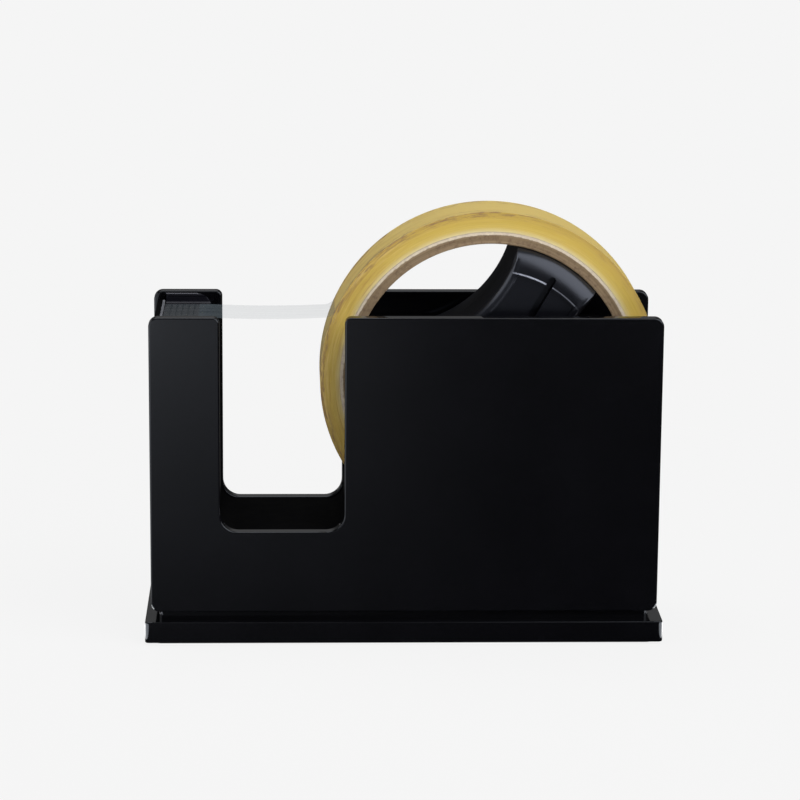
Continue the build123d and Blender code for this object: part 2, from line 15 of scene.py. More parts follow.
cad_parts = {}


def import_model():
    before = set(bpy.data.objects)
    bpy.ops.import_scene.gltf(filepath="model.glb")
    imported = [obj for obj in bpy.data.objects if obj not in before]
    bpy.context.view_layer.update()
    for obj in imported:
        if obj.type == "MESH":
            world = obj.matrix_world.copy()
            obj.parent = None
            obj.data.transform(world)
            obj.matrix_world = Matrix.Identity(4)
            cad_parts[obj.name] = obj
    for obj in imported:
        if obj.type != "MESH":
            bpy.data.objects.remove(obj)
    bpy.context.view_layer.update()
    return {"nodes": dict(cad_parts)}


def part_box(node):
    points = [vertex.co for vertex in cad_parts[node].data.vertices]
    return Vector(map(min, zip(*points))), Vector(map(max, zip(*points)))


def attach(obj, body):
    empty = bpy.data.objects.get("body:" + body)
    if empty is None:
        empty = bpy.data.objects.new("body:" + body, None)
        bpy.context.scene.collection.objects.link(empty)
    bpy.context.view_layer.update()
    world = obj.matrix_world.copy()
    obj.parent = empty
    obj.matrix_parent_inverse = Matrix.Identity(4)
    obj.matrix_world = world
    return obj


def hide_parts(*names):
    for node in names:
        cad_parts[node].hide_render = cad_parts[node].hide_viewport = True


MM = 0.001

# Camera, fitted to the corners of both panels and the rims of the roll; angles in degrees
CAMERA_PLACE = (-32.01 * MM, -847.59 * MM, 259.74 * MM)
CAMERA_DOWN = 12.967
CAMERA_ASIDE = 2.097            # towards +X
CAMERA_ROLL = 0.466
CAMERA_LENS = 140.28            # in millimetres, as the sensor is
CAMERA_SENSOR = 36.0
CAMERA_CLIP = 10.0 * MM

# Panels and notch
PANEL_CORNER = 2.5 * MM
PANEL_EDGE = 0.5 * MM
NOTCH_START = 19.2 * MM         # from the cutter end of the panels
NOTCH_WIDTH = 34.0 * MM
NOTCH_DEPTH = 60.0 * MM
NOTCH_CORNER = 5.0 * MM
NOTCH_MOUTH = 1.8 * MM

# Base
BASE_CORNER = 1.2 * MM
BASE_EDGE = 0.4 * MM
BASE_TOE = 0.2 * MM             # rounding of the lower edge
PLINTH_INSET = 2.2 * MM         # plinth behind the panel faces
PLINTH_HEIGHT = 2.6 * MM
PAD_GAP = 0.1 * MM
PAD_CORNER = 2.5 * MM

# Cutter head
HEAD_RIM_WIDTH = 0.8 * MM
HEAD_NOSE = 5.0 * MM            # rounding of the rim towards the notch
HEAD_COVE = 2.0 * MM            # between the basin's floor and its side walls
RIM_SOFT = 0.7 * MM             # rounding along the inside of the rim
BASIN_DEPTH = 2.8 * MM          # basin below the rim
REST_LENGTH = 9.8 * MM
REST_HEIGHT = 1.0 * MM
REST_RIBS = 6
RIB_GROOVE = 0.5 * MM
LIP_BELOW_RIM = 4.3 * MM
HEAD_STEP = 0.012 * MM          # from a step in the surface to the grid lines beside it
HEAD_GRID = 2.0 * MM            # between grid lines on the rest

# Reel hub
HUB_LOBES = 3
HUB_RADIUS = 37.9 * MM
HUB_FIRST_LOBE = 60.0           # degrees from +X towards +Z
HUB_WAIST = 18.5 * MM
HUB_FLANK = 34.0 * MM           # radius of the hollow between two lobes
HUB_SEAT = 10.0 * MM            # half width of the straight rim under the core
HUB_FACE_RADIUS = 31.1 * MM     # where the shoulder meets the face
HUB_EDGE = 2.6 * MM             # rounding between flank and face
HUB_BORDER = 2.8 * MM
HUB_RECESS = 0.5 * MM
HUB_DRAFT = 0.06 * MM           # lean of the recess's wall
HUB_BEAD = 0.4 * MM             # raised edge between shoulder and face
HUB_BEAD_MIDDLE = HUB_FACE_RADIUS + HUB_BEAD / 2
HUB_FOOT = HUB_FACE_RADIUS + HUB_BEAD   # inner end of the shoulder
HUB_HOLLOW = HUB_WAIST + HUB_FLANK      # from the axis to the centre of a hollow
HUB_BOSS = 7.0 * MM
HUB_BOSS_DRAFT = 0.05 * MM
HUB_BORE = 3.05 * MM
HUB_BORE_EDGE = 0.3 * MM
HUB_HALF_GAP = 0.05 * MM
HUB_SCREW_CIRCLE = 12.0 * MM
HUB_SCREW_HOLE = 2.0 * MM
HUB_SCREW_SINK = 1.8 * MM
SLOT_WIDTH = 2.0 * MM
SLOT_INNER = 21.0 * MM
SLOT_OUTER = 33.9 * MM
SLOT_DEPTH = 3.6 * MM
HUB_POINTS = 432                # points on each ring of the hub
HUB_RING_GAP = 0.01 * MM        # keeps the bead's first ring off the shoulder's last
SHOULDER_STEPS = 16
SLOT_STEPS = 16
TOOL_OVER = 1.0 * MM            # how far cutting tools stand over the face

# Roll
CORE_BORE = 38.0 * MM
CORE_PAPER = 0.8 * MM           # pale outer plies of the board core
CORE_EDGE = 0.15 * MM
WINDING_GAP = 0.05 * MM         # between core and winding
WINDING_RINGS = 54              # turns that show on a face
WINDING_STEP = 0.045 * MM       # how far single turns stand in or out
WINDING_POINTS = 320
FILM_THICKNESS = 0.06 * MM
FILM_LEVEL = 0.06 * MM          # strand below the middle of its CAD strip
FILM_SAG = 0.4 * MM
FILM_BEND = 3.0 * MM            # radius where the strand turns up to the roll
FILM_BEND_STEPS = 12
FILM_CROWN = 0.1 * MM
FILM_CROWN_REACH = 12.0 * MM    # over which the strand takes up its crown
FILM_STEP_LONG = 2.5 * MM
FILM_STEP_WIDE = 1.6 * MM

# Marks and painted shade on the roll: directions in degrees, as the lobe's, and lengths in plain
# millimetres
# Side where darker amber arcs stand in for shade on the roll
SHADED_SIDE = 165
FRAYED_SIDE = 150
FRAYED_ACROSS = (5.0, 1.5)      # from the rims on the wound surface: first dashes, all dashes
FRAYED_DOWN = (2.0, 0.8)        # and from the wound surface on the faces

# Floor, which is lit near the object and an even grey further out
FLOOR_REACH = 6.0
FLOOR_LIT = 90.0 * MM
FLOOR_EVEN = 260.0 * MM
FLOOR_EVENNESS = 0.94           # share of even grey near the object

# Reflected surroundings
CARD_REACH = 6.0                # half length of the dark card on the floor
CARD_LIFT = 0.3 * MM
CARD_ALONG = (-100 * MM, 110 * MM)      # X between which its tones run
CARD_TONES = [(0.0, 1.0), (0.07, 0.95), (0.16, 0.78), (0.44, 0.40), (0.52, 0.28), (0.62, 0.15),
              (0.71, 0.10), (1.0, 0.07)]
CARD_AWAY = (-22 * MM, -440 * MM)       # Y between which it gets paler
CARD_AWAY_TONES = (0.14, 0.95)
BEYOND_ALONG = (-86 * MM, -120 * MM)    # X between which a bright floor fades in
BEYOND_BACK = (60 * MM, 200 * MM)       # Y between which it fades out
BEYOND_GLOW = 1.4
KICKER_LENGTH = 16.0 * MM       # small bright cards beside the slab's ends
KICKER_WIDTH = 34.0 * MM
KICKER_GAP = 3.0 * MM
KICKER_GLOW = 6.5
DOME_TONES = [(0.0, 0.04), (0.14, 0.08), (0.24, 0.30), (0.4, 0.28), (0.6, 0.14), (1.0, 0.3)]

# Area lamps: place and target in metres, size in metres, power in watts
LAMPS = {
    "top_softbox": ((-0.15, 0.25, 1.1), (0.0, 0.0, 0.06), (0.8, 0.6), 5.0),
    "left_softbox": ((-0.86, -0.15, 0.38), (0.0, 0.0, 0.08), (0.8, 0.6), 3.0),
    "right_softbox": ((0.68, -0.58, 0.66), (0.02, 0.0, 0.06), (1.1, 1.1), 12.5),
}

# Scale, detail and roughness of noises that several moulded pieces share
CLOUD = (70, 4, 0.55)
SATIN = (260, 5, 0.6)
GRAIN = (3200, 3, 0.5)

random.seed(7)

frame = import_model()
nodes = frame["nodes"]

panel_low, panel_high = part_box("front_panel")
rear_low, rear_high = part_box("rear_panel")
slab_low, slab_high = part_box("base_plate")
pad_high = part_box("foot_pad")[1]
head_low, head_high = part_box("cutter_head")
roll_low, roll_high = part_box("tape_winding")
core_low, core_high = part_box("tape_core")
hub_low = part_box("front_hub_half")[0]
tail_low, tail_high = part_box("tape_tail")

ROLL_X = (roll_low.x + roll_high.x) / 2
ROLL_Z = (roll_low.z + roll_high.z) / 2
ROLL_RADIUS = (roll_high.x - roll_low.x) / 2
CORE_RADIUS = (core_high.x - core_low.x) / 2
TAPE_HALF = roll_high.y
HUB_HALF = -hub_low.y


# Meshes --------------------------------------------------------------------------------------

def make_object(name, verts, faces, sharp=30.0):
    """Mesh object with outward normals, smooth except at edges sharper than the given angle."""
    mesh = bpy.data.meshes.new(name)
    mesh.from_pydata([tuple(v) for v in verts], [], faces)
    edit = bmesh.new()
    edit.from_mesh(mesh)
    bmesh.ops.recalc_face_normals(edit, faces=edit.faces)
    edit.to_mesh(mesh)
    edit.free()
    mesh.shade_smooth()
    mesh.set_sharp_from_angle(angle=radians(sharp))
    obj = bpy.data.objects.new(name, mesh)
    bpy.context.scene.collection.objects.link(obj)
    return obj


def bridge(rings, cap_first=True, cap_last=True, loop=False):
    """Vertices and faces of a skin through closed rings of equally many points."""
    count = len(rings[0])
    verts = [point for ring in rings for point in ring]
    faces = []
    pairs = len(rings) if loop else len(rings) - 1
    for level in range(pairs):
        here = level * count
        there = (level + 1) % len(rings) * count
        for index in range(count):
            after = (index + 1) % count
            faces.append((here + index, here + after, there + after, there + index))
    if cap_first:
        faces.append(tuple(range(count)))
    if cap_last:
        faces.append(tuple(range(len(verts) - count, len(verts))))
    return verts, faces


def grid_faces(columns, rows):
    """Faces of a grid whose vertices follow each other along its columns."""
    faces = []
    for column in range(columns - 1):
        for row in range(rows - 1):
            first = column * rows + row
            faces.append((first, first + 1, first + rows + 1, first + rows))
    return faces


def rounded_outline(corners, inset=0.0, steps=12):
    """Closed outline through right-angled corners (u, v, radius), drawn in by an inset."""
    points = []
    for index, (u, v, radius) in enumerate(corners):
        before = corners[index - 1]
        after = corners[(index + 1) % len(corners)]
        way_in = Vector((u - before[0], v - before[1])).normalized()
        way_out = Vector((after[0] - u, after[1] - v)).normalized()
        convex = way_in.x * way_out.y - way_in.y * way_out.x > 0
        centre = Vector((u, v)) + radius * (way_out - way_in)
        reach = radius - inset if convex else radius + inset
        for step in range(steps + 1):
            turn = pi / 2 * step / steps
            points.append(centre + reach * (way_in * sin(turn) - way_out * cos(turn)))
    return points


def round_edge(level, inward, radius, steps=5):
    """(inset, level) pairs of a quarter round from a face at this level to the side wall."""
    pairs = []
    for step in range(steps + 1):
        turn = pi / 2 * step / steps
        pairs.append((radius * (1 - sin(turn)), level + inward * radius * (1 - cos(turn))))
    return pairs


def lathe(name, profile, segments=256, sharp=30.0):
    """Closed ring about the roll axis from a closed profile of (radius, y) points."""
    rings = []
    for radius, y in profile:
        ring = []
        for index in range(segments):
            turn = 2 * pi * index / segments
            ring.append((ROLL_X + radius * cos(turn), y, ROLL_Z + radius * sin(turn)))
        rings.append(ring)
    return make_object(name, *bridge(rings, cap_first=False, cap_last=False, loop=True), sharp)


def cut(obj, *tools):
    """Take the tools out of the object, and delete them."""
    for tool in tools:
        modifier = obj.modifiers.new("cut", "BOOLEAN")
        modifier.operation = "DIFFERENCE"
        modifier.solver = "EXACT"
        modifier.object = tool
    graph = bpy.context.evaluated_depsgraph_get()
    mesh = bpy.data.meshes.new_from_object(obj.evaluated_get(graph))
    obj.modifiers.clear()
    obj.data = mesh
    for tool in tools:
        bpy.data.objects.remove(tool)


def weigh_normals(obj):
    """Shade large flat faces flat, although small rounds beside them are smooth."""
    modifier = obj.modifiers.new("normals", "WEIGHTED_NORMAL")
    modifier.keep_sharp = True
    graph = bpy.context.evaluated_depsgraph_get()
    mesh = bpy.data.meshes.new_from_object(obj.evaluated_get(graph))
    obj.modifiers.clear()
    obj.data = mesh


def dress(obj, body, slot_name, *replaced):
    """Give a piece its material, its body and the CAD nodes that it stands for."""
    weigh_normals(obj)
    obj.data.materials.clear()
    obj.data.materials.append(FINISH[slot_name])
    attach(obj, body)
    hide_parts(*replaced)


# Materials -----------------------------------------------------------------------------------

class Nodes:
    """Short calls that build one node tree."""

    def __init__(self, tree):
        self.tree = tree

    def node(self, kind, **settings):
        made = self.tree.nodes.new(kind)
        for key, value in settings.items():
            setattr(made, key, value)
        return made

    def put(self, socket, value):
        """Feed a socket from another one, or set it; a colour of three parts is made opaque."""
        if isinstance(value, bpy.types.NodeSocket):
            self.tree.links.new(value, socket)
        elif isinstance(value, tuple):
            socket.default_value = (*value, 1.0)[:len(socket.default_value)]
        else:
            socket.default_value = value

    def math(self, operation, first, second=None):
        made = self.node("ShaderNodeMath", operation=operation)
        self.put(made.inputs[0], first)
        if second is not None:
            self.put(made.inputs[1], second)
        return made.outputs["Value"]

    def times(self, first, second):
        return self.math("MULTIPLY", first, second)

    def rescale(self, source, from_low, from_high, to_low, to_high):
        made = self.node("ShaderNodeMapRange")
        self.put(made.inputs["Value"], source)
        for key, value in zip(("From Min", "From Max", "To Min", "To Max"),
                              (from_low, from_high, to_low, to_high)):
            self.put(made.inputs[key], value)
        return made.outputs["Result"]

    def ramp(self, source, stops):
        """Colour ramp through stops of a position with a colour or a single grey."""
        made = self.node("ShaderNodeValToRGB")
        band = made.color_ramp
        while len(band.elements) < len(stops):
            band.elements.new(0.5)
        for element, (position, tone) in zip(band.elements, stops):
            element.position = position
            element.color = (*tone, 1.0) if isinstance(tone, tuple) else (tone, tone, tone, 1.0)
        self.put(made.inputs["Fac"], source)
        return made.outputs["Color"]

    def mix(self, factor, first, second):
        made = self.node("ShaderNodeMix", data_type="RGBA")
        for key, value in (("Factor", factor), ("A", first), ("B", second)):
            self.put(made.inputs[key], value)
        return made.outputs["Result"]

    def mix_shaders(self, factor, first, second):
        made = self.node("ShaderNodeMixShader")
        for socket, value in zip(made.inputs, (factor, first, second)):
            self.put(socket, value)
        return made.outputs["Shader"]

    def split(self, vector):
        made = self.node("ShaderNodeSeparateXYZ")
        self.put(made.inputs["Vector"], vector)
        return [made.outputs[axis] for axis in "XYZ"]

    def join(self, x, y, z):
        made = self.node("ShaderNodeCombineXYZ")
        for axis, value in zip("XYZ", (x, y, z)):
            self.put(made.inputs[axis], value)
        return made.outputs["Vector"]


class Shader(Nodes):
    """A Principled material, with object coordinates for the noises that feed it."""

    def __init__(self, name, **constants):
        self.material = bpy.data.materials.new(name)
        self.material.use_nodes = True
        super().__init__(self.material.node_tree)
        self.bsdf = self.tree.nodes["Principled BSDF"]
        for socket, value in constants.items():
            self.feed(socket.replace("_", " "), value)
        coords = self.node("ShaderNodeTexCoord")
        self.place = coords.outputs["Object"]
        self.normal = coords.outputs["Normal"]

    def feed(self, socket, value):
        self.put(self.bsdf.inputs[socket], value)

    def stretched(self, scale):
        mapping = self.node("ShaderNodeMapping")
        self.put(mapping.inputs["Vector"], self.place)
        self.put(mapping.inputs["Scale"], scale)
        return mapping.outputs["Vector"]

    def noise(self, scale, detail, roughness, source=None, fourth=None):
        made = self.node("ShaderNodeTexNoise")
        if fourth is not None:
            made.noise_dimensions = "4D"
            self.put(made.inputs["W"], fourth)
        for key, value in (("Scale", scale), ("Detail", detail), ("Roughness", roughness),
                           ("Vector", source or self.place)):
            self.put(made.inputs[key], value)
        return made.outputs["Fac"]

    def bump(self, height, strength, distance):
        made = self.node("ShaderNodeBump")
        for key, value in (("Height", height), ("Strength", strength), ("Distance", distance)):
            self.put(made.inputs[key], value)
        self.feed("Normal", made.outputs["Normal"])

    def moulding(self, dark, light, grain):
        """Cloudy tone of a moulded piece, over a fine spark-eroded grain."""
        self.bump(self.noise(*GRAIN), grain, 0.05 * MM)
        return self.ramp(self.noise(*CLOUD), [(0.3, dark), (0.7, light)])

    def satin(self, low, high):
        """Roughness between two values, uneven as on a moulded piece."""
        self.feed("Roughness", self.rescale(self.noise(*SATIN), 0.3, 0.7, low, high))


class RollShader(Shader):
    """A Shader that knows its place round the roll axis.

    x and z lead from the axis, in metres. radius and y are in millimetres, which suits the
    noises, and the angle is in radians from +X towards +Z.
    """

    def __init__(self, name, **constants):
        super().__init__(name, **constants)
        offset = self.node("ShaderNodeVectorMath", operation="SUBTRACT")
        self.put(offset.inputs[0], self.place)
        self.put(offset.inputs[1], (ROLL_X, 0.0, ROLL_Z))
        self.x, y, self.z = self.split(offset.outputs["Vector"])
        self.y = self.times(y, 1 / MM)
        self.radius = self.times(self.reach(self.x, self.z), 1 / MM)
        self.angle = self.math("ARCTAN2", self.z, self.x)

    def reach(self, x, z):
        square = self.math("ADD", self.times(x, x), self.times(z, z))
        return self.math("SQRT", square)

    def towards(self, degrees):
        """1 on the roll's rim in this direction from the axis, falling to -1 on the far side."""
        turn = radians(degrees)
        return self.math("ADD", self.times(self.x, cos(turn) / ROLL_RADIUS),
                         self.times(self.z, sin(turn) / ROLL_RADIUS))

    def off_middle(self):
        """Distance from the roll's middle plane."""
        return self.math("ABSOLUTE", self.y)

    def winding_noise(self, along, across, wide, detail, roughness):
        """Noise drawn out along the turns: units per metre along, and per millimetre else."""
        source = self.join(self.times(self.x, along), self.times(self.z, along),
                           self.times(self.radius, across))
        return self.noise(1.0, detail, roughness, source, self.times(self.y, wide))


def rgb(red, green, blue):
    """Scene-linear colour from values as seen on a screen, 0 to 255."""
    def linear(value):
        share = value / 255
        return share / 12.92 if share <= 0.04045 else ((share + 0.055) / 1.055) ** 2.4
    return (linear(red), linear(green), linear(blue))


def gloss_black(name, low, high, specular):
    """Polished black sheet: faint smears in the gloss and a very slight waviness."""
    shade = Shader(name, IOR=1.45, Specular_IOR_Level=specular, Specular_Tint=(0.84, 0.9, 1.0))
    tint = rgb(6, 6, 8)
    pale = tuple(1.7 * part for part in tint)
    shade.feed("Base Color", shade.ramp(shade.noise(38, 5, 0.6), [(0.3, tint), (0.75, pale)]))
    shade.feed("Roughness", shade.rescale(shade.noise(120, 6, 0.65), 0.3, 0.75, low, high))
    shade.bump(shade.noise(22, 2, 0.4), 0.05, 0.1 * MM)
    return shade.material


def frame_plastic(name):
    """Satin black moulding between the panels."""
    shade = Shader(name, IOR=1.49, Specular_IOR_Level=0.02)
    shade.feed("Base Color", shade.moulding(rgb(3, 3, 4), rgb(5, 5, 6), 0.08))
    shade.satin(0.7, 0.78)
    return shade.material


def head_plastic(name):
    """Violet black moulding, glossy along the rim and duller down in the basin."""
    shade = Shader(name, IOR=1.49, Specular_Tint=(0.82, 0.84, 1.0))
    shade.feed("Base Color", shade.moulding(rgb(7, 7, 12), rgb(12, 12, 19), 0.02))
    shade.satin(0.2, 0.28)
    height = shade.split(shade.place)[2]
    dull = head_high.z - BASIN_DEPTH + 1.2 * MM
    glossy = head_high.z - 0.3 * MM
    shade.feed("Specular IOR Level", shade.rescale(height, dull, glossy, 0.12, 0.5))
    return shade.material


def bead_highlight(shade):
    """Mask of a painted highlight along the edge between shoulder and face, left of the first slot.
    """
    off = shade.math("SUBTRACT", shade.radius, HUB_BEAD_MIDDLE / MM)
    off = shade.math("ABSOLUTE", off)
    slot, soft = radians(HUB_FIRST_LOBE), radians(3)
    left = shade.rescale(shade.angle, slot - soft, slot + soft, 0.1, 1.0)
    return shade.times(shade.rescale(off, 0.08, 0.3, 1.0, 0.0), left)


def outline_highlight(shade):
    """Mask of a painted highlight along the face's outline towards the first hollow."""
    bead = HUB_BEAD_MIDDLE / MM
    turn = radians(HUB_FIRST_LOBE - 180 / HUB_LOBES)
    aside = shade.math("SUBTRACT", shade.x, HUB_HOLLOW * cos(turn))
    above = shade.math("SUBTRACT", shade.z, HUB_HOLLOW * sin(turn))
    away = shade.math("SUBTRACT", shade.reach(aside, above), HUB_FLANK + 0.35 * HUB_EDGE)
    away = shade.times(shade.math("ABSOLUTE", away), 1 / MM)
    inside = shade.rescale(shade.radius, bead - 1, bead, 1.0, 0.0)
    return shade.times(shade.rescale(away, 0.1, 0.3, 1.0, 0.0), inside)


def reel_plastic(name):
    """Bluish black moulding: matt side walls, glossier faces, and painted highlights along the
    edges of one lobe.
    """
    shade = RollShader(name, IOR=1.49, Specular_Tint=(0.78, 0.84, 1.0))
    tone = shade.moulding(rgb(9, 9, 13), rgb(14, 15, 20), 0.08)
    # Painted highlight: pale grey drawn along the bead and one lobe's outline, broken up by noise,
    # on the face only.
    painted_highlight = shade.times(shade.math("MAXIMUM", bead_highlight(shade), outline_highlight(shade)),
                       shade.rescale(shade.noise(420, 4, 0.6), 0.35, 0.6, 0.55, 1.0))
    half = HUB_HALF / MM
    face = shade.rescale(shade.off_middle(), half - 0.6, half - 0.3, 0.0, 1.0)
    shade.feed("Base Color", shade.mix(shade.times(painted_highlight, face), tone, rgb(156, 160, 174)))
    facing = shade.math("ABSOLUTE", shade.split(shade.normal)[1])
    shade.feed("Specular IOR Level", shade.rescale(facing, 0.15, 0.6, 0.06, 0.5))
    shade.feed("Roughness", shade.rescale(facing, 0.15, 0.6, 0.6, 0.28))
    return shade.material


def brushed_steel(name, color, low, high, stretch):
    """Steel with fine brushing lines along one axis."""
    shade = Shader(name, Metallic=1.0)
    lines = shade.noise(900, 4, 0.6, shade.stretched(stretch))
    pale = tuple(min(1.0, 1.25 * part) for part in color)
    shade.feed("Base Color", shade.ramp(lines, [(0.25, color), (0.8, pale)]))
    shade.feed("Roughness", shade.rescale(lines, 0.3, 0.7, low, high))
    shade.bump(lines, 0.12, 0.02 * MM)
    return shade.material


def cast_iron(name):
    """Painted casting: dark grey with pits and a rough skin."""
    shade = Shader(name, Metallic=0.35)
    cloud = shade.noise(240, 6, 0.65)
    shade.feed("Base Color", shade.ramp(cloud, [(0.3, rgb(46, 47, 50)), (0.7, rgb(84, 85, 88))]))
    shade.feed("Roughness", shade.rescale(cloud, 0.3, 0.7, 0.55, 0.8))
    shade.bump(shade.noise(1400, 5, 0.7), 0.4, 0.15 * MM)
    return shade.material


def soft_rubber(name):
    """Non-slip pad: matt, slightly dusty, with a fine closed-cell skin."""
    shade = Shader(name, Specular_IOR_Level=0.2)
    dust = shade.noise(180, 6, 0.7)
    shade.feed("Base Color", shade.ramp(dust, [(0.35, rgb(20, 20, 22)), (0.8, rgb(44, 44, 46))]))
    shade.feed("Roughness", shade.rescale(dust, 0.3, 0.7, 0.75, 0.95))
    shade.bump(shade.noise(2600, 4, 0.6), 0.3, 0.1 * MM)
    return shade.material


def nylon(name):
    """Natural nylon washer, milky with faint turning marks."""
    shade = RollShader(name, IOR=1.53, Subsurface_Weight=0.3, Subsurface_Scale=0.5 * MM)
    rings = shade.noise(6, 3, 0.5, shade.join(shade.radius, 0.0, shade.y))
    tones = [(0.3, rgb(214, 210, 198)), (0.7, rgb(232, 229, 220))]
    shade.feed("Base Color", shade.ramp(rings, tones))
    shade.feed("Roughness", shade.rescale(rings, 0.3, 0.7, 0.35, 0.5))
    shade.bump(rings, 0.1, 0.03 * MM)
    return shade.material


def board_core(name):
    """Wound board: brown plies with dark flecks, and paler plies on the outside."""
    shade = RollShader(name, Specular_IOR_Level=0.15)
    wound = shade.join(shade.radius, shade.times(shade.angle, 0.4), shade.y)
    plies = shade.noise(2.4, 4, 0.6, wound)
    flecks = shade.noise(900, 4, 0.65)
    brown = shade.ramp(plies, [(0.3, rgb(116, 97, 74)), (0.7, rgb(150, 130, 104))])
    brown = shade.mix(shade.rescale(flecks, 0.5, 0.66, 0.0, 0.6), brown, rgb(100, 80, 66))
    pale = shade.ramp(flecks, [(0.3, rgb(196, 181, 166)), (0.7, rgb(222, 210, 186))])
    paper_edge = (CORE_RADIUS - CORE_PAPER) / MM
    wavy = shade.math("ADD", shade.radius, shade.rescale(flecks, 0.3, 0.7, -0.12, 0.12))
    outside = shade.rescale(wavy, paper_edge - 0.1, paper_edge + 0.1, 0.0, 1.0)
    shade.feed("Base Color", shade.mix(outside, brown, pale))
    shade.feed("Roughness", shade.rescale(flecks, 0.3, 0.7, 0.7, 0.9))
    shade.bump(shade.math("ADD", flecks, plies), 0.35, 0.12 * MM)
    return shade.material


def shaded_side_arcs(shade, tone):
    """One side of the roll painted with darker amber arcs as shade, and with paler arcs among them.
    """
    arcs = shade.winding_noise(107.0, 2.6, 0.9, 5, 0.6)
    shaded_side = shade.rescale(shade.towards(SHADED_SIDE), 0.5, 0.96, 0.15, 1.0)
    # Darker amber arcs towards that side: painted shade.
    amber = shade.times(shaded_side, shade.rescale(arcs, 0.5, 0.66, 0.0, 0.6))
    tone = shade.mix(amber, tone, rgb(168, 124, 68))
    pale = shade.times(shaded_side, shade.rescale(arcs, 0.36, 0.48, 0.5, 0.0))
    return shade.mix(pale, tone, rgb(224, 198, 134))


def frayed_rims(shade, tone):
    """Both rims of the roll frayed into ragged brown dashes, most of them on one side."""
    first, full = (TAPE_HALF / MM - inset for inset in FRAYED_ACROSS)
    rim = shade.rescale(shade.off_middle(), first, full, 0.0, 1.0)
    first, full = (ROLL_RADIUS / MM - inset for inset in FRAYED_DOWN)
    edge = shade.times(rim, shade.rescale(shade.radius, first, full, 0.0, 1.0))
    dashes = shade.rescale(shade.winding_noise(235.0, 2.4, 0.8, 6, 0.7), 0.5, 0.58, 0.0, 1.0)
    marked = shade.rescale(shade.towards(FRAYED_SIDE), 0.04, 0.53, 0.3, 0.95)
    return shade.mix(shade.times(shade.times(edge, marked), dashes), tone, rgb(146, 115, 82))


def wound_tape(name):
    """Side of a roll of clear tape: amber, with turns of slightly different tone, streaks, and
    painted shade on one side.
    """
    shade = RollShader(name, IOR=1.47, Specular_IOR_Level=0.25, Subsurface_Weight=0.08,
                       Subsurface_Scale=1.5 * MM, Subsurface_Radius=(1.0, 0.7, 0.25))
    outer = ROLL_RADIUS / MM
    across = shade.rescale(shade.radius, CORE_RADIUS / MM, outer, 0.0, 1.0)
    tone = shade.ramp(across, [
        (0.0, rgb(224, 210, 168)),
        (0.1, rgb(220, 202, 140)),
        (0.25, rgb(212, 186, 98)),
        (0.5, rgb(205, 177, 84)),
        (0.8, rgb(196, 167, 82)),
        (1.0, rgb(184, 156, 82)),
    ])
    turns = shade.join(shade.times(shade.radius, 6.0), shade.x, shade.z)
    layers = shade.noise(1.0, 3, 0.6, turns)
    tone = shade.mix(shade.rescale(layers, 0.35, 0.7, 0.0, 0.35), tone, rgb(182, 152, 74))
    dust = shade.join(shade.times(shade.radius, 2.2), shade.times(shade.x, 90.0),
                      shade.times(shade.z, 90.0))
    streaks = shade.noise(1.6, 5, 0.65, dust)
    tone = shade.mix(shade.rescale(streaks, 0.56, 0.74, 0.0, 0.4), tone, rgb(190, 156, 104))
    wound_surface = shade.rescale(shade.radius, outer - 0.1, outer - 0.04, 0.0, 1.0)
    tone = shade.mix(wound_surface, tone, rgb(210, 185, 108))
    shade.feed("Base Color", frayed_rims(shade, shaded_side_arcs(shade, tone)))
    shade.feed("Roughness", shade.rescale(layers, 0.3, 0.7, 0.3, 0.5))
    shade.bump(shade.math("ADD", layers, streaks), 0.15, 0.06 * MM)
    return shade.material


def clear_film(name):
    """Single layer of clear tape: pale, cool and slightly cloudy, with faint drag lines, and
    painted paleness that makes it clearer on the tape rest than beyond it.
    """
    shade = Shader(name, IOR=1.3, Specular_IOR_Level=0.3)
    lines = shade.noise(160, 4, 0.6, shade.stretched((0.15, 4.0, 1.0)))
    tones = [(0.3, rgb(112, 128, 138)), (0.7, rgb(136, 150, 158))]
    shade.feed("Base Color", shade.ramp(lines, tones))
    shade.feed("Roughness", shade.rescale(lines, 0.3, 0.7, 0.12, 0.25))
    rest_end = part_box("cutter_blade")[1].x + REST_LENGTH
    soft = 0.2 * MM
    # Painted paleness: the film is drawn clearer over the tape rest and paler beyond its end.
    painted_paleness = shade.rescale(shade.split(shade.place)[0], rest_end - soft, rest_end + soft, 0.6, 1.3)
    shade.feed("Alpha", shade.times(painted_paleness, shade.rescale(lines, 0.3, 0.7, 0.14, 0.19)))
    shade.bump(lines, 0.1, 0.05 * MM)
    return shade.material


FINISH = {
    "gloss_panel": gloss_black("gloss_panel", 0.035, 0.09, 0.42),
    "gloss_base": gloss_black("gloss_base", 0.06, 0.14, 0.35),
    "frame_plastic": frame_plastic("frame_plastic"),
    "head_plastic": head_plastic("head_plastic"),
    "reel_plastic": reel_plastic("reel_plastic"),
    "blade_steel": brushed_steel("blade_steel", rgb(128, 130, 136), 0.28, 0.42, (1, 4, 0.1)),
    "axle_steel": brushed_steel("axle_steel", rgb(168, 169, 170), 0.18, 0.32, (1, 6, 1)),
    "screw_steel": brushed_steel("screw_steel", rgb(120, 121, 124), 0.3, 0.45, (2, 2, 2)),
    "ballast_iron": cast_iron("ballast_iron"),
    "pad_rubber": soft_rubber("pad_rubber"),
    "washer_nylon": nylon("washer_nylon"),
    "core_card": board_core("core_card"),
    "tape_roll": wound_tape("tape_roll"),
    "tape_film": clear_film("tape_film"),
}

